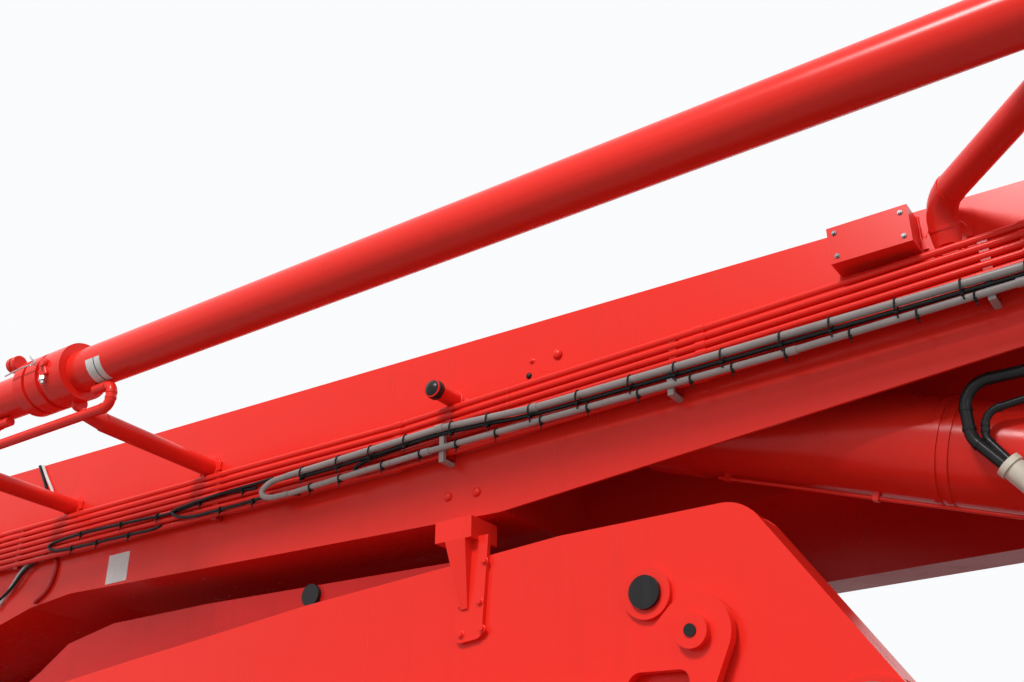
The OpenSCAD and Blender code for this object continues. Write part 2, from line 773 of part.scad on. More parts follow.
// Lever plates with a round end on the near cheek
lever_pin = hinge_3 + [-374, 256];
boss_pin = hinge_3 + [-507, 372];
module arm_2_levers() {
    color(red) difference() {
        slab(-cheek_y - 40, -cheek_y - 12) {
            bar(lever_pin, 91, lever_pin + [-190, -260], 150);
        }
        slab(-cheek_y - 60, -cheek_y) bar(hinge_3 + [-420, 152], 26, hinge_3 + [-520, 148], 34);
    }
    color(red) {
        cross_pin(lever_pin, 60, -cheek_y - 12, -cheek_y);
        cross_pin(lever_pin, 41, -cheek_y - 62, -cheek_y - 40);
        cross_pin(hinge_3 + [-580, 10], 60, -cheek_y - 12, -cheek_y);
        cross_pin(boss_pin, 64, -cheek_y - 14, -cheek_y);
    }
}

module arm_2_pins() {
    plate = plate_slab(1);
    color(black) {
        twin_pins(horn_2, link_pin_r, plate[1], plate[1] + 10);
        cross_pin(boss_pin, 41, -cheek_y - 26, -cheek_y - 14);
        cross_pin(hinge_2 + [3958, 341], 34, -half_2 - 14, -half_2);
        cross_pin(lever_pin, 15, -cheek_y - 66, -cheek_y - 62);
    }
}

// Bracket on the near cheek, just under the first arm's side plate: a block, a tapered plate below it with
// round lower corners, and a rib that runs out downwards
bracket_x = hinge_3[0] - 1064;
bracket_low = hinge_3[1] + 326;
module rest_bracket() {
    top = belly_at(bracket_x) - side_gap - 18;
    low = top - 60;
    tip = bracket_low + 82;
    face = -cheek_y - 14;
    front = -cheek_y - 48;
    color(red) {
        translate([bracket_x - 62, front, low]) cube([122, 120, 60]);
        slab(face, -cheek_y) {
            polygon([
                [bracket_x - 24, low + 10], [bracket_x + 92, low + 10], [bracket_x + 74, bracket_low + 22],
                [bracket_x + 50, bracket_low], [bracket_x + 8, bracket_low - 4],
                [bracket_x - 16, bracket_low + 18]
            ]);
            disc([bracket_x + 52, bracket_low + 22], 22);
            disc([bracket_x + 6, bracket_low + 18], 22);
        }
        intersection() {
            slab(front, face + 1) polygon([
                [bracket_x - 30, low + 10], [bracket_x + 40, low + 10], [bracket_x + 30, tip],
                [bracket_x + 8, tip]
            ]);
            translate([bracket_x - 100, 0, 0]) rotate([90, 0, 90]) linear_extrude(200) polygon([
                [front, low + 10], [front, low], [face - 6, tip], [face + 1, tip], [face + 1, low + 10]
            ]);
        }
    }
}

line_2 = [
    [hinge_2[0], swivel_2_y + 0.5, hinge_2[1]], [hinge_2[0], pipe_2_y, hinge_2[1]],
    [hinge_3[0], pipe_2_y, hinge_3[1]], [hinge_3[0], swivel_3_y - 0.5, hinge_3[1]]
];
module line_2_pipe() {
    color(red) pipe(line_2);
}

line_2_strut_x = [for (d = [1100, 2500, 4700]) hinge_2[0] + d];
module line_2_struts() {
    color(red) for (x = line_2_strut_x) {
        f = (x - hinge_2[0]) / reach_2;
        z = hinge_2[1] + f * (hinge_3[1] - hinge_2[1]);
        out = x > cheek_start ? cheek_y : half_2;
        difference() {
            union() {
                translate([x - 25, pipe_2_y + 20, z - 30]) cube([50, -out - pipe_2_y - 20, 60]);
                rod_between([x - 25, pipe_2_y, z], [x + 25, pipe_2_y, z - 2], pipe_r + 14);
            }
            rod_between(line_2[1], line_2[2], pipe_r + pin_gap);
        }
    }
}

// Fold linkage, shared by both knuckles: k is its scale, mid its middle plane

module rocker(p, q, k, mid, pin_to) {
    plate = plate_slab(k);
    color(red) difference() {
        union() {
            twin_slabs(plate[0], plate[1], mid) bar(p, (link_pin_r + 30) * k, q, (link_pin_r + 24) * k);
            twin_pins(q, link_pin_r * k, rod_slab(k)[1] + side_gap, plate[1] + 8, mid);
        }
        cross_pin(p, link_pin_r * (k == 1 ? 1 : k) + pin_gap, mid - 300, mid + 300);
    }
}

module link(p, q, k, mid) {
    at = link_slab(k);
    color(red) difference() {
        union() {
            twin_slabs(at[0], at[1], mid) bar(p, (link_pin_r + 14) * k, q, (link_pin_r + 14) * k);
            cross_pin(q, link_pin_r * k, mid - at[1], mid + at[1]);
        }
        cross_pin(p, link_pin_r * k + pin_gap, mid - 300, mid + 300);
    }
}

// Draws along +X from the barrel's pin at p towards the rod eye at q
module along(p, q, mid) {
    translate([p[0], mid, p[1]]) rotate([0, -angle_of(q - p), 0]) children();
}

module fold_barrel(p, q, k, mid, barrel_r, shut) {
    color(red) along(p, q, mid) difference() {
        union() {
            translate([90 * k, 0, 0]) rotate([0, 90, 0]) cylinder(h = shut - 90 * k, r = barrel_r);
            translate([shut - 60, 0, 0]) rotate([0, 90, 0]) cylinder(h = 80, r = barrel_r + 6);
            rotate([90, 0, 0]) translate([0, 0, -45 * k]) cylinder(h = 90 * k, r = (link_pin_r + 28) * k);
            rotate([0, 90, 0]) cylinder(h = 120 * k, r = 45 * k);
        }
        translate([140 * k, 0, 0]) rotate([0, 90, 0]) cylinder(h = shut, r = 40 * k + pin_gap);
        rotate([90, 0, 0]) translate([0, 0, -200]) cylinder(h = 400, r = link_pin_r * k + pin_gap);
    }
}

module fold_rod(p, q, k, mid, shut) {
    full = norm(q - p);
    inside = 180 * k;
    color(steel) along(p, q, mid) difference() {
        union() {
            translate([full, 0, 0]) rotate([90, 0, 0]) translate([0, 0, -45 * k])
                cylinder(h = 90 * k, r = (link_pin_r + 26) * k);
            translate([shut - inside, 0, 0]) rotate([0, 90, 0])
                cylinder(h = full - shut + inside, r = 40 * k);
        }
        translate([full, 0, 0]) rotate([90, 0, 0]) translate([0, 0, -200])
            cylinder(h = 400, r = link_pin_r * k);
    }
}

shut_2 = 1260;
shut_4 = 900;

module rocker_2() { rocker(pivot_2, crank_2, 1, 0); }
module link_2() { link(crank_2, horn_2, 1, 0); }
module fold_2_barrel() { fold_barrel(fold_2_base, crank_2, 1, 0, 80, shut_2); }
module fold_2_rod() { fold_rod(fold_2_base, crank_2, 1, 0, shut_2); }
module rocker_4() { rocker(pivot_4, crank_4, small, side_shift); }
module link_4() { link(crank_4, horn_4, small, side_shift); }
module fold_4_barrel() { fold_barrel(fold_4_base, crank_4, small, side_shift, 62, shut_4); }
module fold_4_rod() { fold_rod(fold_4_base, crank_4, small, side_shift, shut_4); }

// Third arm

module arm_3_outline() {
    polygon(concat(
        [hinge_4 + [60, 80], hinge_4 + [110, -60], hinge_4 + [300, -140]], roof_3,
        [for (i = [len(floor_3) - 1 : -1 : 0]) floor_3[i]], [hinge_4 + [20, -520], hinge_4 + [-80, 0]]
    ));
    disc(hinge_4, 105);
    disc(hinge_3, 160);
}

module arm_3_box() {
    inner = half_3 - arm_3_wall;
    color(deep_red) difference() {
        union() {
            twin_slabs(inner, half_3, side_shift) arm_3_outline();
            slab(side_shift - inner, side_shift + inner) {
                strip([for (i = [1 : 3]) roof_3[i]], -8);
                strip([for (i = [1 : 3]) floor_3[i]], 8);
            }
            cross_pin(hinge_3, 140, side_shift - half_3, side_shift + half_3);
            twin_pins(hinge_4, 90, sleeve_4 + side_gap, half_3 + 10, side_shift);
            twin_pins(pivot_4, 55, inner - 15, half_3 + 10, side_shift);
        }
        cross_pin(hinge_3, hinge_tube_r + pin_gap, 0, side_shift + half_3 + 1);
        cross_pin(hinge_4, hinge_pin_r * small + pin_gap, 0, side_shift + half_3 + 30);
        cross_pin(pivot_4, link_pin_r * small + pin_gap, 0, side_shift + half_3 + 30);
        cross_pin(fold_4_base, link_pin_r * small + pin_gap, 0, side_shift + half_3 + 30);
    }
}

module arm_3_hinge_tube() {
    color(grey) difference() {
        union() {
            cross_pin(hinge_3, hinge_tube_r, -cheek_y - 12, side_shift + half_3);
            cross_pin(hinge_3, hinge_tube_r + 12, -cheek_y - 24, -cheek_y - 12);
        }
        cross_pin(hinge_3, pipe_r + 6, -cheek_y - 30, side_shift + half_3 + 1);
    }
}

module arm_3_pins() {
    color(black) {
        cross_pin(hinge_4, hinge_pin_r * small, side_shift - half_3 - 10, side_shift + half_3 + 10);
        twin_pins(hinge_4, hinge_pin_r * small + 10, half_3 + 10, half_3 + 20, side_shift);
        cross_pin(pivot_4, link_pin_r * small, side_shift - half_3 - 10, side_shift + half_3 + 10);
        cross_pin(fold_4_base, link_pin_r * small, side_shift - half_3, side_shift + half_3);
    }
}

line_3 = [
    [hinge_3[0], swivel_3_y + 0.5, hinge_3[1]], [hinge_3[0], pipe_3_y, hinge_3[1]],
    [hinge_4[0] + 700, pipe_3_y, hinge_4[1] - 480],
    [hinge_4[0], pipe_3_y, hinge_4[1]], [hinge_4[0], swivel_4_y - 0.5, hinge_4[1]]
];
module line_3_pipe() {
    color(deep_red) pipe(line_3);
}

line_3_strut_x = [for (d = [1000, 2700, 4300]) hinge_4[0] + d];
module line_3_struts() {
    a = line_3[1];
    b = line_3[2];
    color(deep_red) for (x = line_3_strut_x) {
        f = (x - a[0]) / (b[0] - a[0]);
        z = a[2] + f * (b[2] - a[2]);
        difference() {
            union() {
                translate([x - 25, side_shift + half_3, z - 30])
                    cube([50, pipe_3_y - side_shift - half_3 - 20, 60]);
                rod_between([x - 25, pipe_3_y, z], [x + 25, pipe_3_y, z - 3], pipe_r + 14);
            }
            rod_between(a, b, pipe_r + pin_gap);
        }
    }
}

// Fourth arm

// The line on the fourth arm rises behind it, and ends this much above its axis
line_4_rise = 200;
line_4_bend = [hinge_4[0] + 700, hinge_4[1] + line_4_rise];
line_4_end = tip_4 + [200, line_4_rise];
line_4_slope = (line_4_end[1] - line_4_bend[1]) / (line_4_end[0] - line_4_bend[0]);
function line_4_z(x) = line_4_bend[1] + (x - line_4_bend[0]) * line_4_slope;

// Top and bottom edges, from the root to the tip
tip_4_roof = 250;
tip_4_floor = 82;
roof_4 = [hinge_4 + [300, 90], hinge_4 + [600, arm_4_depth / 2], tip_4 + [0, tip_4_roof]];
floor_4 = [hinge_4 + [300, -85], hinge_4 + [600, -arm_4_depth / 2], tip_4 + [0, -tip_4_floor]];

module arm_4_outline() {
    polygon(concat(
        [hinge_4 + [0, 85]], roof_4,
        [for (i = [len(floor_4) - 1 : -1 : 0]) floor_4[i]], [hinge_4 + [0, -85]]
    ));
    disc(hinge_4, 85);
}

module arm_4_box() {
    inner = half_4 - arm_4_wall;
    plate = plate_slab(small);
    end = tip_4[0];
    color(deep_red) difference() {
        union() {
            twin_slabs(inner, half_4, side_shift) arm_4_outline();
            slab(side_shift - inner, side_shift + inner) {
                strip(roof_4, -8);
                strip(floor_4, 8);
                polygon([
                    [end - 10, tip_4[1] - tip_4_floor], [end, tip_4[1] - tip_4_floor],
                    [end, tip_4[1] + tip_4_roof], [end - 10, tip_4[1] + tip_4_roof]
                ]);
            }
            cross_pin(hinge_4, 85, side_shift - sleeve_4, side_shift + sleeve_4);
            twin_slabs(plate[0], plate[1], side_shift) bar(hinge_4, 82, horn_4, (link_pin_r + 24) * small);
            twin_pins(horn_4, link_pin_r * small, plate[1], plate[1] + 8, side_shift);
        }
        cross_pin(hinge_4, hinge_pin_r * small + pin_gap, 0, side_shift + 300);
    }
}

line_4 = [
    [hinge_4[0], swivel_4_y + 0.5, hinge_4[1]], [hinge_4[0], pipe_4_y, hinge_4[1]],
    [line_4_bend[0], pipe_4_y, line_4_bend[1]], [line_4_end[0], pipe_4_y, line_4_end[1]]
];
module line_4_pipe() {
    color(deep_red) pipe(line_4);
}

line_4_strut_x = [hinge_4[0] + 900, hinge_4[0] + 2600, hinge_4[0] + 4400, tip_4[0] - 250];
module line_4_struts() {
    color(deep_red) for (x = line_4_strut_x) {
        z = line_4_z(x);
        difference() {
            union() {
                rod_between([x, side_shift + half_4, z - 60], [x, pipe_4_y - 30, z - 60], 28);
                rod_between([x - 25, pipe_4_y, z], [x + 25, pipe_4_y, z], pipe_r + 14);
            }
            rod_between(line_4[2], line_4[3], pipe_r + pin_gap);
        }
    }
}

module end_elbow() {
    x = line_4_end[0] + 1;
    z = line_4_end[1];
    color(deep_red) {
        pipe([[x, pipe_4_y, z], [x + 180, pipe_4_y, z], [x + 180, pipe_4_y, z - 260]]);
        clamp([line_4_end[0] + 0.5, pipe_4_y, z], [1, 0, 0]);
    }
}

arm_1_box();
arm_1_lift_lug();
arm_1_pins();
lift_eye_pin();
line_1_pipe();
line_1_clamps();
line_1_struts();
strut_console();
hydraulic_tubes();
tube_clamps();
cable_conduits();
capped_stub();
lift_rod();
lift_barrel();
lift_barrel_lines();
barrel_hoses();
hose_fitting();
arm_2_box();
arm_2_cheeks();
arm_2_levers();
arm_2_pins();
rest_bracket();
line_2_pipe();
line_2_struts();
rocker_2();
link_2();
fold_2_barrel();
fold_2_rod();
arm_3_box();
arm_3_hinge_tube();
arm_3_pins();
line_3_pipe();
line_3_struts();
arm_4_box();
line_4_pipe();
line_4_struts();
end_elbow();
rocker_4();
link_4();
fold_4_barrel();
fold_4_rod();
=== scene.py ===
# %% [markdown]
# A folded placing boom, seen from close below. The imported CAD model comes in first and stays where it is:
# this file gives it paint, rubber and light, and adds the small things that a steel shop and a pipe fitter add.

import bmesh
import bpy
import numpy as np
from mathutils import Matrix


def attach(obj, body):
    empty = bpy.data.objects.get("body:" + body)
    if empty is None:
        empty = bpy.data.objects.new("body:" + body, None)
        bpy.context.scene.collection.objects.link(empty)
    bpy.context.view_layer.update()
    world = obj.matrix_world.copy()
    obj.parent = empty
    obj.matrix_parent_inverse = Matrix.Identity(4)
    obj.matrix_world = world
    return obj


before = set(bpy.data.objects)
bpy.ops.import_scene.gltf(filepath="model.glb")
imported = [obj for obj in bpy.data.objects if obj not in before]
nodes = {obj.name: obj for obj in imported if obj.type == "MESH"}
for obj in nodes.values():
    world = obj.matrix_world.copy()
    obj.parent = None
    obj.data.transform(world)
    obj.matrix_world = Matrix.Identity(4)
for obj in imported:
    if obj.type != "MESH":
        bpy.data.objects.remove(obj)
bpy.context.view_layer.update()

# %% [markdown]
# The photographer stood on the ground beside the boom and looked up at it. A camera is a place, a direction
# and a lens: the direction is given as compass angle and tilt, and the lens as the focal length that made
# the arms' straight edges meet where they do in the picture.

# %% The camera
EYE = np.array([-0.950, -2.732, -1.385])
HEADING, TILT = np.radians(34.5), np.radians(27.0)
FOCAL_PIXELS, IMAGE_WIDTH, SENSOR_MM = 1173.0, 1024.0, 36.0

forward = np.array([-np.sin(HEADING) * np.cos(TILT), np.cos(HEADING) * np.cos(TILT), np.sin(TILT)])
right = np.array([np.cos(HEADING), np.sin(HEADING), 0.0])
upward = np.cross(right, forward)
camera_data = bpy.data.cameras.new("photo_camera")
camera_data.sensor_width = SENSOR_MM
camera_data.lens = FOCAL_PIXELS * SENSOR_MM / IMAGE_WIDTH
camera_data.clip_end = 200.0
camera = bpy.data.objects.new("photo_camera", camera_data)
bpy.context.collection.objects.link(camera)
turn = np.column_stack([right, upward, -forward])
camera.matrix_world = Matrix.LocRotScale(EYE, Matrix(turn.tolist()).to_quaternion(), None)
bpy.context.scene.camera = camera
print("lens:", round(camera_data.lens, 2), "mm")

# %% [markdown]
# A mesh is only two lists: where its points are, and which points make each face. A surface that is worked
# out on a grid has its faces ready: every cell of the grid is one. So one helper turns a grid of points into
# an object, and closes it round either way when the shape is a ring.

# %% From a grid of points to an object
def add_mesh(name, points, faces, material=None, smooth=True):
    """Make an object from a list of points and a list of faces, and put it in the scene."""
    mesh = bpy.data.meshes.new(name)
    mesh.from_pydata(np.asarray(points, dtype=float).reshape(-1, 3).tolist(), [], faces)
    mesh.update()
    if smooth:
        mesh.polygons.foreach_set("use_smooth", [True] * len(mesh.polygons))
    obj = bpy.data.objects.new(name, mesh)
    bpy.context.collection.objects.link(obj)
    if material:
        mesh.materials.append(material)
    return obj


def grid_faces(rows, columns, close_rows=False, close_columns=False, start=0):
    """The four corners of each grid cell, counted row by row; a closed way joins its last line to its first."""
    r = np.arange(rows if close_rows else rows - 1)
    c = np.arange(columns if close_columns else columns - 1)
    r, c = (a.ravel() for a in np.meshgrid(r, c, indexing="ij"))
    r1, c1 = (r + 1) % rows, (c + 1) % columns
    corners = [r * columns + c, r * columns + c1, r1 * columns + c1, r1 * columns + c]
    return (start + np.column_stack(corners)).tolist()


# %% [markdown]
# The boom's paint is one glossy red all over. It isn't one flat colour, though: road film dulls it in soft
# patches, rain leaves faint streaks, and the dull places are rougher too. One node group makes those masks
# from noise of different sizes, and each paint mixes them in its own amounts.

# %% A node group for weathered paint
def link(tree, a, b):
    tree.links.new(a, b)


def put(node, **values):
    """Set a node's sockets; an underscore stands for the space in a socket's name."""
    for socket, value in values.items():
        node.inputs[socket.replace("_", " ")].default_value = value


def build_weather():
    """Soft patches from large noise, streaks from noise stretched along Z, and grain from very fine noise."""
    group = bpy.data.node_groups.new("paint_weather", "ShaderNodeTree")
    face = group.interface
    amounts = {"Patch Size": 1.5, "Streaks": 0.3, "Dirt": 0.3, "Grain": 600.0, "Wave": 0.5}
    for name, default in amounts.items():
        face.new_socket(name, in_out="INPUT", socket_type="NodeSocketFloat").default_value = default
    for name, default in (("Clean", (0.7, 0.03, 0.02, 1)), ("Dusty", (0.4, 0.1, 0.08, 1))):
        face.new_socket(name, in_out="INPUT", socket_type="NodeSocketColor").default_value = default
    for name, kind in (("Color", "Color"), ("Roughness", "Float"), ("Height", "Float")):
        face.new_socket(name, in_out="OUTPUT", socket_type="NodeSocket" + kind)
    n = group.nodes
    entry, leave, place = n.new("NodeGroupInput"), n.new("NodeGroupOutput"), n.new("ShaderNodeTexCoord")

    def noise(vector, detail, scale=None, size=None):
        """Noise whose scale is a number, or is asked for through one of the group's inputs."""
        node = n.new("ShaderNodeTexNoise")
        put(node, Detail=detail)
        link(group, vector, node.inputs["Vector"])
        if size:
            link(group, entry.outputs[size], node.inputs["Scale"])
        else:
            put(node, Scale=scale)
        return node.outputs["Fac"]

    def calculate(operation, *values):
        node = n.new("ShaderNodeMath")
        node.operation = operation
        for value, socket in zip(values, node.inputs):
            link(group, value, socket)
        return node

    def share(mask, low, high, amount):
        """0 where the noise is below low, 1 where it is above high, straight between, times an input."""
        ramp = n.new("ShaderNodeMapRange")
        put(ramp, From_Min=low, From_Max=high)
        link(group, mask, ramp.inputs["Value"])
        return calculate("MULTIPLY", ramp.outputs["Result"], entry.outputs[amount]).outputs[0]

    stretch = n.new("ShaderNodeMapping")
    put(stretch, Scale=(22.0, 22.0, 1.6))
    link(group, place.outputs["Object"], stretch.inputs["Vector"])
    patches = share(noise(place.outputs["Object"], 4.0, size="Patch Size"), 0.42, 0.75, "Dirt")
    streaks = share(noise(stretch.outputs["Vector"], 3.0, scale=1.0), 0.56, 0.78, "Streaks")
    dullness = calculate("ADD", patches, streaks)
    dullness.use_clamp = True

    blend = n.new("ShaderNodeMix")
    blend.data_type = "RGBA"
    link(group, dullness.outputs[0], blend.inputs["Factor"])
    link(group, entry.outputs["Clean"], blend.inputs["A"])
    link(group, entry.outputs["Dusty"], blend.inputs["B"])
    link(group, blend.outputs["Result"], leave.inputs["Color"])

    rough = n.new("ShaderNodeMapRange")
    put(rough, To_Min=0.22, To_Max=0.5)
    link(group, dullness.outputs[0], rough.inputs["Value"])
    link(group, rough.outputs["Result"], leave.inputs["Roughness"])

    grain = noise(place.outputs["Object"], 2.0, size="Grain")
    wave = noise(place.outputs["Object"], 1.0, scale=3.2)
    relief = calculate("MULTIPLY_ADD", wave, entry.outputs["Wave"], grain)
    link(group, relief.outputs[0], leave.inputs["Height"])
    return group


weather = build_weather()
print("group:", weather.name)

# %% [markdown]
# Each finish is then a short recipe: a Principled shader with its own colour, shine and bump, and the
# weather group in front of it. Sheet steel is never quite flat after welding, so the paint's bump carries a
# slow wave as well as its fine grain: it is the wave that bends the reflections on the plates.

# %% Finishes
SHEET_WAVE = 4.0
RELIEF_DEPTH = 0.002


def finish(name, clean, dusty, dirt=0.3, streaks=0.3, patch=1.5, grain=600.0, bump=0.05, metallic=0.0,
           shine=0.5):
    """A paint, plastic or metal whose colour goes from clean to dusty by the weather group's mask."""
    material = bpy.data.materials.new(name)
    material.use_nodes = True
    tree = material.node_tree
    shader = tree.nodes["Principled BSDF"]
    put(shader, Metallic=metallic, Specular_IOR_Level=shine)
    look = tree.nodes.new("ShaderNodeGroup")
    look.node_tree = weather
    put(look, Patch_Size=patch, Streaks=streaks, Dirt=dirt, Grain=grain, Wave=SHEET_WAVE)
    put(look, Clean=(*clean, 1.0), Dusty=(*dusty, 1.0))
    relief = tree.nodes.new("ShaderNodeBump")
    put(relief, Strength=bump, Distance=RELIEF_DEPTH)
    link(tree, look.outputs["Color"], shader.inputs["Base Color"])
    link(tree, look.outputs["Roughness"], shader.inputs["Roughness"])
    link(tree, look.outputs["Height"], relief.inputs["Height"])
    link(tree, relief.outputs["Normal"], shader.inputs["Normal"])
    return material


red_paint = finish("gloss_red_paint", (0.80, 0.024, 0.014), (0.60, 0.026, 0.017),
                   dirt=0.25, streaks=0.2, shine=0.22)
# A darker copy of the same red: painted shade for the parts that sit back in shadow. Its dusty patches are road
# dirt, as on the other finishes.
painted_shade_red = finish("red_paint_painted_shade", (0.52, 0.009, 0.007), (0.34, 0.012, 0.010), dirt=0.5, shine=0.2)
deep_paint = finish("dark_red_paint", (0.46, 0.010, 0.008), (0.28, 0.014, 0.011), dirt=0.5, shine=0.3)
chrome = finish("chromed_rod", (0.75, 0.76, 0.78), (0.5, 0.5, 0.5),
                dirt=0.1, streaks=0.1, bump=0.0, metallic=1.0)
dark_steel = finish("pin_steel", (0.16, 0.16, 0.165), (0.10, 0.09, 0.08), dirt=0.4, metallic=0.8)
zinc = finish("zinc_plating", (0.55, 0.56, 0.55), (0.30, 0.29, 0.27),
              dirt=0.6, patch=30.0, grain=1500.0, metallic=0.9)
conduit_skin = finish("grey_conduit", (0.38, 0.35, 0.33), (0.22, 0.20, 0.19), dirt=0.5, patch=9.0, grain=900.0)
rubber = finish("black_rubber", (0.012, 0.012, 0.013), (0.035, 0.033, 0.031),
                dirt=0.5, grain=1200.0, shine=0.2)
black_plastic = finish("black_plastic", (0.008, 0.008, 0.009), (0.022, 0.020, 0.019),
                       dirt=0.4, patch=8.0, grain=900.0, shine=0.2)
white_cable = finish("white_cable", (0.62, 0.62, 0.60), (0.40, 0.37, 0.34), dirt=0.4, patch=12.0, grain=900.0)
plate_film = finish("blank_plate", (0.66, 0.65, 0.62), (0.42, 0.40, 0.37), dirt=0.5, patch=14.0, grain=1200.0)
cream_paint = finish("cream_fitting", (0.60, 0.55, 0.45), (0.34, 0.28, 0.22),
                     dirt=0.5, patch=12.0, grain=900.0)
print("finishes:", len(bpy.data.materials))

# %% Paint the CAD nodes
# The boxes, pipes, struts and elbow that sit back in shadow take the darker red of painted shade; the rest take
# the clean red.
paint_of = {
    "arm_3_box": painted_shade_red, "arm_4_box": painted_shade_red, "line_3_pipe": painted_shade_red, "line_4_pipe": painted_shade_red,
    "line_3_struts": painted_shade_red, "line_4_struts": painted_shade_red, "end_elbow": painted_shade_red,
    "arm_2_box": painted_shade_red, "lift_rod": chrome, "fold_2_rod": chrome, "fold_4_rod": chrome,
    "arm_1_pins": rubber, "arm_2_pins": rubber, "arm_3_pins": dark_steel, "tube_clamps": deep_paint,
    "arm_3_hinge_tube": dark_steel, "cable_conduits": conduit_skin, "barrel_hoses": rubber,
    "hose_fitting": cream_paint,
}
for name, obj in nodes.items():
    obj.data.materials.clear()
    obj.data.materials.append(paint_of.get(name, red_paint))
print("painted:", len(nodes))

# %% [markdown]
# The small things come next: bolts, plugs, weld beads, cable ties, cables. Two surfaces make nearly all of
# them. A turned shape is a profile spun round an axis; with six sides instead of many it is a bolt's head. A
# drawn shape is a circle carried along a path. Each gives its points and faces, so many of a kind can be
# gathered into one mesh.

# %% Turned and drawn shapes
ODD_WAY = (0.31, 0.11, 0.94)


def unit(v):
    return np.asarray(v, dtype=float) / np.linalg.norm(v)


def turned(place, axis, profile, sides=20):
    """Spin a profile of (along, radius) pairs round an axis: point = place + along * axis + radius * ring.

    The ring starts square to the axis and to an odd direction that no axis here is parallel to.
    """
    axis = unit(axis)
    across = unit(np.cross(axis, ODD_WAY))
    other = np.cross(axis, across)
    along, radius = np.asarray(profile, dtype=float).T
    angle = np.linspace(0.0, 2.0 * np.pi, sides, endpoint=False)
    ring = np.cos(angle)[:, None] * across + np.sin(angle)[:, None] * other
    points = np.asarray(place) + along[:, None, None] * axis + radius[:, None, None] * ring[None, :, :]
    rows = len(along)
    faces = grid_faces(rows, sides, close_columns=True)
    faces += [list(range(sides))[::-1], list(range((rows - 1) * sides, rows * sides))]
    return points.reshape(-1, 3), faces


def drawn(path, radius, sides=10, closed=False, reference=(0.0, 1.0, 0.0)):
    """Carry a circle along a path: each ring lies square to the path, turned by a fixed reference direction."""
    path = np.asarray(path, dtype=float)
    if closed:
        tangent = np.roll(path, -1, axis=0) - np.roll(path, 1, axis=0)
    else:
        tangent = np.gradient(path, axis=0)
    tangent /= np.linalg.norm(tangent, axis=1)[:, None]
    side = np.cross(tangent, reference)
    side /= np.linalg.norm(side, axis=1)[:, None]
    other = np.cross(side, tangent)
    angle = np.linspace(0.0, 2.0 * np.pi, sides, endpoint=False)
    size = np.broadcast_to(np.asarray(radius, dtype=float), (len(path),))[:, None, None]
    ring = np.cos(angle)[None, :, None] * side[:, None, :] + np.sin(angle)[None, :, None] * other[:, None, :]
    points = path[:, None, :] + size * ring
    rows = len(path)
    faces = grid_faces(rows, sides, close_rows=closed, close_columns=True)
    if not closed:
        faces += [list(range(sides))[::-1], list(range((rows - 1) * sides, rows * sides))]
    return points.reshape(-1, 3), faces


def smooth_path(points, step=0.008):
    """A curve through the points: between two, the cubic whose slope at each is half its neighbours' chord."""
    p = np.asarray(points, dtype=float)
    slope = np.gradient(p, axis=0)
    pieces = []
    for i in range(len(p) - 1):
        count = max(3, int(np.linalg.norm(p[i + 1] - p[i]) / step))
        t = np.linspace(0.0, 1.0, count, endpoint=False)[:, None]
        pieces.append((2 * t**3 - 3 * t**2 + 1) * p[i] + (t**3 - 2 * t**2 + t) * slope[i]
                      + (3 * t**2 - 2 * t**3) * p[i + 1] + (t**3 - t**2) * slope[i + 1])
    return np.vstack(pieces + [p[-1:]])


print("a turned bolt head has", len(turned((0, 0, 0), (0, -1, 0), [(0, 0.01), (0.008, 0.01)], 6)[1]), "faces")

# %% Gather shapes into one piece
def piece(name, body, material, parts, smooth=True):
    """Join shapes into one mesh, turn its faces outwards, and let it ride on a body of the boom."""
    points, faces, start = [], [], 0
    for part_points, part_faces in parts:
        points.append(part_points)
        faces += [[start + k for k in face] for face in part_faces]
        start += len(part_points)
    obj = add_mesh(name, np.vstack(points), faces, material, smooth)
    work = bmesh.new()
    work.from_mesh(obj.data)
    bmesh.ops.recalc_face_normals(work, faces=work.faces[:])
    work.to_mesh(obj.data)
    work.free()
    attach(obj, body)
    print(name, len(obj.data.polygons), "faces")


MM = 0.001
ARM_1_FACE = -225.0
OUT = (0.0, -1.0, 0.0)


def mm(*values):
    return np.array(values, dtype=float) * MM


# %% [markdown]
# A bolt on plate work sits on a washer, and its hexagon has a narrower crown. The rest bracket has five; the
# console has four small dark ones; two domed plugs close the tapped holes in the first arm's side. Where the
# lift eye's pin ends inside, there are one more plug, a small screw and a small black plug.

# %% Bolts and plugs
BRACKET_FACE = -266
CONSOLE_FACE = -302
KEEPER_FACE = -228
WASHER_SHARE = 1.45
CROWN_SHARE = 0.6


def bolt(x, y, z, r):
    """A washer and a six-sided head on a plate that faces -Y."""
    washer = [(0, WASHER_SHARE), (3 / r, WASHER_SHARE), (3.4 / r, WASHER_SHARE * 0.93)]
    head = [(0, 1.0), (0.62, 1.0), (0.78, 0.86)]
    return [turned(mm(x, y + 1, z), OUT, np.array(washer) * r * MM, 20),
            turned(mm(x, y - 2, z), OUT, np.array(head) * r * MM, 6)]


def dome(x, y, z, r):
    """A plug with a round crown: its radius falls as a quarter circle while it rises."""
    t = np.linspace(0.0, 0.97, 7) * np.pi / 2
    crown = np.column_stack([0.25 + CROWN_SHARE * np.sin(t), np.cos(t)])
    return turned(mm(x, y + 1, z), OUT, np.vstack([(0.0, 1.0), crown]) * r * MM, 20)


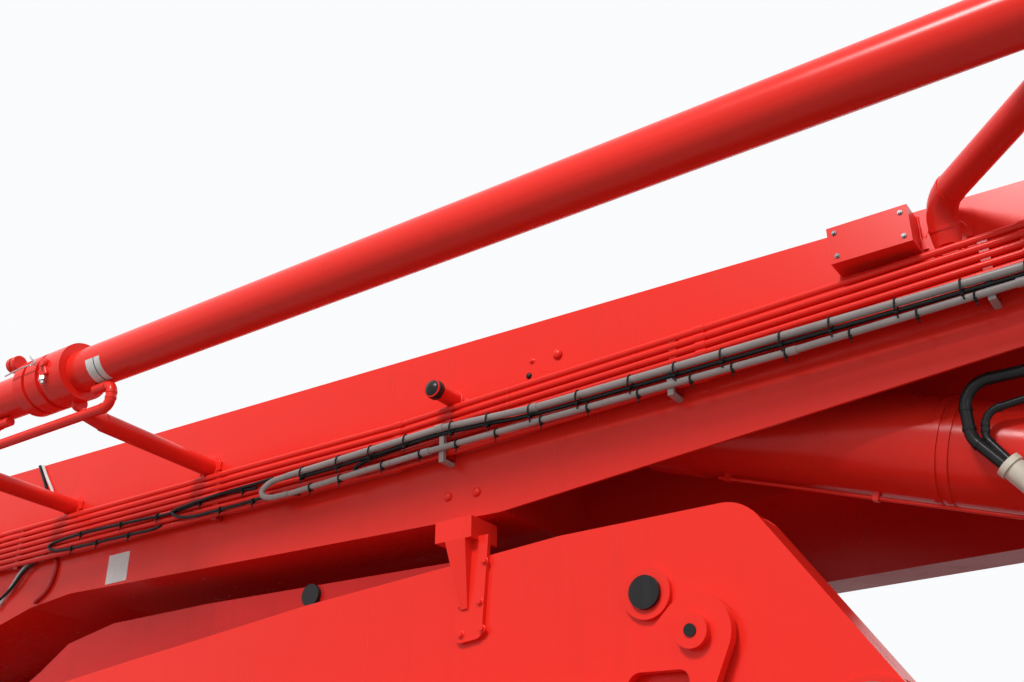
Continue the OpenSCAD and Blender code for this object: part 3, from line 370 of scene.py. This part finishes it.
bracket_bolts = [(-2807, -677), (-2739, -670), (-2809, -600), (-2747, -599), (-2732, -491)]
piece("bracket_bolts", "arm_2", red_paint,
      sum([bolt(x, BRACKET_FACE, z, 7.5) for x, z in bracket_bolts], []), smooth=False)
piece("side_plugs", "arm_1", red_paint,
      [dome(-2893, ARM_1_FACE, -268, 13), dome(-2792, ARM_1_FACE, -274, 13)])
console_bolts = [(x, z) for x in (-1674, -1513) for z in (73, 137)]
piece("console_bolts", "arm_1", dark_steel,
      sum([bolt(x, CONSOLE_FACE, z, 4.5) for x, z in console_bolts], []), smooth=False)
piece("keeper_bolts", "arm_1", red_paint,
      [dome(-2516, KEEPER_FACE, 77, 14)] + bolt(-2603, ARM_1_FACE, 80, 6))
piece("keeper_plug", "arm_1", black_plastic, [dome(-2612, KEEPER_FACE, 35, 9)])

# %% [markdown]
# Where a tube or a box is welded to a plate, a bead of weld runs round its foot. It is a bar whose own radius
# ripples a little, once for each stroke of the welder's hand.

# %% Weld beads
RING_POINTS, RING_STROKES = 72, 24
EDGE_STEP, EDGE_STROKE = 9, 1.9


def ring_bead(x, y, z, ring_r, bead_r=5.0):
    """A closed round path on a plate that faces -Y, with a rippled thickness."""
    angle = np.linspace(0.0, 2.0 * np.pi, RING_POINTS, endpoint=False)
    path = mm(x, y, z) + MM * ring_r * np.column_stack([np.cos(angle), np.zeros(RING_POINTS), np.sin(angle)])
    return drawn(path, MM * bead_r * (1.0 + 0.10 * np.sin(angle * RING_STROKES)), 8, closed=True)


def edge_bead(start, end, bead_r):
    """A bead along a straight run, rippled by the length walked."""
    a, b = np.asarray(start, dtype=float), np.asarray(end, dtype=float)
    count = max(2, int(np.linalg.norm(b - a) / EDGE_STEP))
    path = np.vstack([np.linspace(a, b, count, endpoint=False), b])
    walked = np.arange(len(path))
    return drawn(path * MM, MM * bead_r * (1.0 + 0.12 * np.sin(walked * EDGE_STROKE)), 6)


side_rings = [(-2876, 25, 26), (-4640, 38, 42), (-3909, 34, 42), (-6150, 40, 42), (-1434, 76, 48)]
piece("foot_welds", "arm_1", red_paint, [ring_bead(x, ARM_1_FACE, z, r) for x, z, r in side_rings])
console_frame = [(x, ARM_1_FACE, z) for x, z in ((-1694, 53), (-1493, 53), (-1493, 157), (-1694, 157))]
piece("console_weld", "arm_1", red_paint,
      [edge_bead(console_frame[i], console_frame[(i + 1) % 4], 4.0) for i in range(4)])

# %% [markdown]
# A short capped stub stands out from the first arm's side. Its cap is a soft black plug: a short skirt and a
# crown like a flattened ball.

# %% Stub cap
CAP_R = 29.0
t = np.linspace(0.03, np.pi / 2, 9)
cap_profile = [(0.0, 24.5), (0.0, CAP_R)] + [(14 + 18 * np.cos(a), CAP_R * np.sin(a)) for a in t[::-1]]
piece("stub_cap", "arm_1", rubber,
      [turned(mm(-2876, -313, 25), OUT, np.array(cap_profile) * MM, 28)])

# %% [markdown]
# Cable ties hold the conduits every 14 cm or so. A tie is a flat band round the conduit, a small head and a
# cut tail that sticks out below. Where the ties go follows each conduit's own line, a list of bends.

# %% Conduit ties
UPPER_CONDUIT = np.array([(-3480, -100), (-2880, -82), (-2560, -98), (-1263, -80), (-300, -52)], float)
LOWER_CONDUIT = np.array([(-3480, -160), (-2932, -142), (-1822, -132), (-1286, -114), (-300, -86)], float)
UPPER_Y, LOWER_Y = -286, -283
TIE_PITCH = 143.0


def tie(x, y, z, r, tall=None):
    """A band round a bar along X, taller than wide where it holds two, with its head and tail below."""
    angle = np.linspace(0.0, 2.0 * np.pi, 22, endpoint=False)
    up = r + 2.0 if tall is None else tall
    ring = np.column_stack([1.5 * np.sin(angle), (r + 2.0) * np.cos(angle), up * np.sin(angle)])
    front = y - 0.5 * r
    head = np.array([(-3, 5), (5, 5), (6, 4)]) * MM
    tail = np.array([(0, 2.2), (15, 2.2)]) * MM
    return [drawn(mm(x, y, z) + MM * ring, 2.6 * MM, 6, closed=True, reference=(1.0, 0.0, 0.0)),
            turned(mm(x, front, z - up), (0, -0.4, -0.9), head, 4),
            turned(mm(x + 1, front, z - up - 4), (0.15, -0.3, -0.95), tail, 6)]


shift = np.random.default_rng(7)
tie_parts = []
for x in np.arange(-3420.0, -320.0, TIE_PITCH):
    at, beside = x + shift.uniform(-16, 16), x + shift.uniform(10, 46)
    tie_parts += tie(at, UPPER_Y, np.interp(at, *UPPER_CONDUIT.T) - 6, 12, 19)
    tie_parts += tie(beside, LOWER_Y, np.interp(beside, *LOWER_CONDUIT.T), 9)
piece("conduit_ties", "arm_1", black_plastic, tie_parts)

# %% [markdown]
# The pale conduit turns round in a hairpin and comes back as the lower one. A black cable runs close below
# the upper one all the way. Three thin black cables are looped back: a short one beside the hairpin, and two
# to the left of it, which are tied to the tubes.

# %% Cables along the first arm
def cable(points, y, r):
    """A round cable through (x, z) points that keeps one distance from the arm's side."""
    return drawn(smooth_path([mm(x, y, z) for x, z in points]), r * MM, 10)


hairpin = [(-3470, -100), (-3500, -101), (-3550, -106), (-3584, -124), (-3582, -145), (-3545, -158),
           (-3500, -160), (-3470, -160)]
below = [(-3430, -112), (-3300, -110), (-3100, -104), (-2900, -97), (-2720, -104), (-2560, -113),
         (-2200, -110), (-1800, -104), (-1263, -95), (-800, -82), (-305, -68)]
small_loop = [(-2975, -98), (-3120, -108), (-3190, -118), (-3214, -132), (-3180, -142), (-3100, -142),
              (-3010, -137), (-2900, -130)]
far_loop = [(-3638, -98), (-3814, -89), (-4033, -106), (-4165, -102), (-4450, -92), (-4589, -93),
            (-4680, -100), (-4700, -111), (-4672, -127), (-4612, -136), (-4493, -140), (-4350, -143),
            (-4212, -146), (-4125, -148), (-4086, -141)]
near_loop = [(-3437, -162), (-3577, -144), (-3693, -145), (-3831, -145), (-3916, -144), (-3986, -133),
             (-4019, -116), (-4012, -103), (-3812, -90), (-3640, -88), (-3560, -86)]
FAR_Y, NEAR_Y = -262, -270
LOOP_R = 5.5
piece("conduit_hairpin", "arm_1", conduit_skin, [cable(hairpin, UPPER_Y, 9.5)])
piece("tied_cables", "arm_1", black_plastic,
      [cable(far_loop, FAR_Y, LOOP_R), cable(near_loop, NEAR_Y, LOOP_R), cable(below, -279, 6.5),
       cable(small_loop, -272, LOOP_R)])
far_ties = [(-3700, -94), (-3900, -97), (-4110, -104), (-4300, -97), (-4520, -92)]
near_ties = [(-3640, -145), (-3790, -145)]
return_ties = [(-4250, -145), (-4420, -141), (-4560, -138)]
loop_ties = [(x, y, z) for y, places in ((FAR_Y, far_ties), (NEAR_Y, near_ties), (FAR_Y, return_ties))
             for x, z in places]
piece("cable_ties", "arm_1", black_plastic,
      sum([tie(x, y, z, 5) for x, y, z in loop_ties], []))

# %% [markdown]
# Near the left edge a white cable and a black one come over the arm's top edge and run down its side. Their
# lower ends come out below the tubes beside a thin red hose and swing away under the arm.

# %% Cables across the first arm
white_top = [(-4883, 254), (-4841, 196), (-4794, 137), (-4769, 92)]
black_top = [(-4903, 258), (-4858, 191), (-4813, 121)]
white_low = [(-4703, -122), (-4774, -121), (-4841, -137), (-4891, -170), (-4944, -234), (-4999, -294)]
black_low = [(-4730, -130), (-4797, -145), (-4861, -172), (-4917, -224), (-5000, -272)]
red_hose = [(-4713, -133), (-4679, -172), (-4702, -254), (-4771, -298)]
piece("white_cables", "arm_1", white_cable,
      [cable(white_top, -231, 6), cable(white_low, -236, 6)])
piece("black_cables", "arm_1", black_plastic,
      [cable(black_top, -231, 6), cable(black_low, -242, 6)])
piece("red_hose", "arm_1", deep_paint, [cable(red_hose, -232, 7)])

# %% [markdown]
# Two small plates are left blank: one bent round the delivery pipe, with a thin black line across it, and one
# flat on the arm. A plate is a grid in two parameters, laid on a cylinder or a plane, with a second grid close
# behind it and a rim between them.

# %% Blank plates
PIPE_Y, PIPE_Z, PIPE_R = -746.0, 207.0, 66.5
SINK = 0.5
PLATE_THICK = 1.5
PIPE_PLATE_ARC = (12, 86)


def slab_of(front, back, rows, columns):
    """Two matching grids and a rim of faces between them make a thin closed plate."""
    points = np.vstack([front.reshape(-1, 3), back.reshape(-1, 3)])
    size = rows * columns
    faces = grid_faces(rows, columns) + [f[::-1] for f in grid_faces(rows, columns, start=size)]
    edge = ([i * columns for i in range(rows)] + [(rows - 1) * columns + i for i in range(1, columns)]
            + [i * columns + columns - 1 for i in range(rows - 2, -1, -1)] + list(range(columns - 2, 0, -1)))
    faces += [[a, b, b + size, a + size] for a, b in zip(edge, edge[1:] + edge[:1])]
    return points, faces


def pipe_plate(x0, x1, lift):
    """x runs along the pipe and the angle round it: y = -r cos(angle), z = -r sin(angle) from its axis."""
    arc = np.radians(np.linspace(*PIPE_PLATE_ARC, 16))
    x, angle = np.meshgrid(np.linspace(x0, x1, 6), arc, indexing="ij")
    shells = [np.stack([x, PIPE_Y - r * np.cos(angle), PIPE_Z - r * np.sin(angle)], axis=-1) * MM
              for r in (PIPE_R + lift, PIPE_R - SINK)]
    return slab_of(shells[0], shells[1], 6, 16)


def flat_plate(x0, x1, z0, z1, y):
    """A plate on a face that looks along -Y: its front stands out, its back is sunk a little."""
    x, z = np.meshgrid(np.linspace(x0, x1, 3), np.linspace(z0, z1, 3), indexing="ij")
    sheets = [np.stack([x, np.full_like(x, level), z], axis=-1) * MM for level in (y - PLATE_THICK, y + SINK)]
    return slab_of(sheets[0], sheets[1], 3, 3)


piece("pipe_plate", "arm_1", plate_film, [pipe_plate(-3856, -3792, 1.2)], smooth=False)
piece("pipe_plate_rule", "arm_1", black_plastic, [pipe_plate(-3820, -3817, 1.8)], smooth=False)
piece("arm_plate", "arm_1", plate_film,
      [flat_plate(-4386, -4277, -291, -188, ARM_1_FACE)], smooth=False)

# %% [markdown]
# The clamp coupling on the pipe is closed by an eye bolt with a plated nut, swings on a pair of lugs, and a
# sprung wire clip keeps it from opening. All of them stand out from the clamp's rings.

# %% Coupling hardware
BOLT_TURN = (0.3, 0, -1)


def bar_of(points, r, sides=10, reference=(0.0, 1.0, 0.0)):
    """A round bar through points in space, in fine steps because it bends tightly."""
    return drawn(smooth_path([mm(*p) for p in points], 0.004), r * MM, sides, reference=reference)


eye_ring = np.array([(-9, 9), (-9, 15), (9, 15), (9, 9)]) * MM
eye_bolt = [bar_of([(-4022, -841, 214), (-4014, -840, 198), (-4006, -838, 176)], 6.5),
            turned(mm(-4022, -842, 218), OUT, eye_ring, 18)]
nut_profile = np.array([(0, 12), (12, 12), (13, 10)]) * MM
thread_profile = np.array([(0, 7), (10, 7), (11, 6)]) * MM
nut = [turned(mm(-4027, -836, 172), BOLT_TURN, nut_profile, 6),
       turned(mm(-4024, -836, 159), BOLT_TURN, thread_profile, 14)]
lug_profile = np.array([(-7, 22), (-8, 26), (8, 26), (7, 22)]) * MM
lug_plates = [turned(mm(*place), (1, 0, 0), lug_profile, 16)
              for place in ((-4250, -806, 286), (-4215, -812, 280), (-3989, -717, 117))]
piece("coupling_bolt", "arm_1", red_paint, eye_bolt + lug_plates)
piece("coupling_nut", "arm_1", zinc, nut, smooth=False)
wire = [(-4127, -831, 276), (-4090, -848, 250), (-4052, -855, 222), (-4120, -858, 220), (-4205, -855, 216)]
piece("wire_clip", "arm_1", zinc, [bar_of(wire, 2.6, 8, (0.0, 0.3, 1.0))])

# %% [markdown]
# A studio stands in for the cloudy day: a pale floor just under the camera, a white world that only the
# camera and reflections see as white, and soft lamps. The key stands high behind the camera, so the pipe's
# soft shadow falls on the arm's side. The floor sends little soft light back up, as the ground does, so that
# the undersides stay deep red.

# %% Floor, world and lamps
FLOOR_Z = -1.435
SPAN = 40.0
floor_corners = [(x * SPAN, y * SPAN, FLOOR_Z) for x, y in ((-1, -1), (1, -1), (1, 1), (-1, 1))]
floor = add_mesh("floor", floor_corners, [(0, 1, 2, 3)], smooth=False)


def seen_ray(tree):
    """1 for a ray from the camera, or one that a shiny or clear surface sends on; 0 for a ray of soft light."""
    path = tree.nodes.new("ShaderNodeLightPath")
    direct, either = tree.nodes.new("ShaderNodeMath"), tree.nodes.new("ShaderNodeMath")
    direct.operation = either.operation = "MAXIMUM"
    link(tree, path.outputs["Is Camera Ray"], direct.inputs[0])
    link(tree, path.outputs["Is Glossy Ray"], direct.inputs[1])
    link(tree, direct.outputs[0], either.inputs[0])
    link(tree, path.outputs["Is Transmission Ray"], either.inputs[1])
    return either.outputs[0]


floor_paint = bpy.data.materials.new("floor_pale")
floor_paint.use_nodes = True
floor_tree = floor_paint.node_tree
floor_shader = floor_tree.nodes["Principled BSDF"]
put(floor_shader, Roughness=0.8)
shade = floor_tree.nodes.new("ShaderNodeMix")
shade.data_type = "RGBA"
put(shade, A=(0.22, 0.21, 0.20, 1), B=(0.55, 0.55, 0.55, 1))
link(floor_tree, seen_ray(floor_tree), shade.inputs["Factor"])
link(floor_tree, shade.outputs["Result"], floor_shader.inputs["Base Color"])
floor.data.materials.append(floor_paint)

world = bpy.data.worlds.new("studio")
bpy.context.scene.world = world
world.use_nodes = True
wt = world.node_tree
wt.nodes.clear()
sky = wt.nodes.new("ShaderNodeBackground")
put(sky, Color=(0.96, 0.97, 0.98, 1), Strength=1.0)
fill = wt.nodes.new("ShaderNodeBackground")
put(fill, Color=(0.95, 0.97, 1.0, 1), Strength=0.72)
pick = wt.nodes.new("ShaderNodeMixShader")
out = wt.nodes.new("ShaderNodeOutputWorld")
link(wt, seen_ray(wt), pick.inputs["Fac"])
link(wt, fill.outputs[0], pick.inputs[1])
link(wt, sky.outputs[0], pick.inputs[2])
link(wt, pick.outputs[0], out.inputs["Surface"])


def soft_lamp(name, place, aim, size, power):
    """A square lamp of the given side, turned to face the point that it lights."""
    data = bpy.data.lights.new(name, "AREA")
    data.size, data.energy = size, power
    lamp = bpy.data.objects.new(name, data)
    bpy.context.collection.objects.link(lamp)
    away = np.array(place, dtype=float) - np.array(aim, dtype=float)
    away /= np.linalg.norm(away)
    side = np.cross([0.0, 0.0, 1.0], away)
    side /= np.linalg.norm(side)
    axes = np.column_stack([side, np.cross(away, side), away])
    lamp.matrix_world = Matrix.LocRotScale(place, Matrix(axes.tolist()).to_quaternion(), None)


soft_lamp("key", (-2.0, -10.2, 8.0), (-3.0, -0.3, -0.2), 2.6, 1300.0)
soft_lamp("side", (6.0, -5.0, 2.0), (-2.0, 0.0, -0.3), 4.0, 60.0)
bpy.context.scene.view_settings.view_transform = "Standard"
print("floor at", FLOOR_Z)
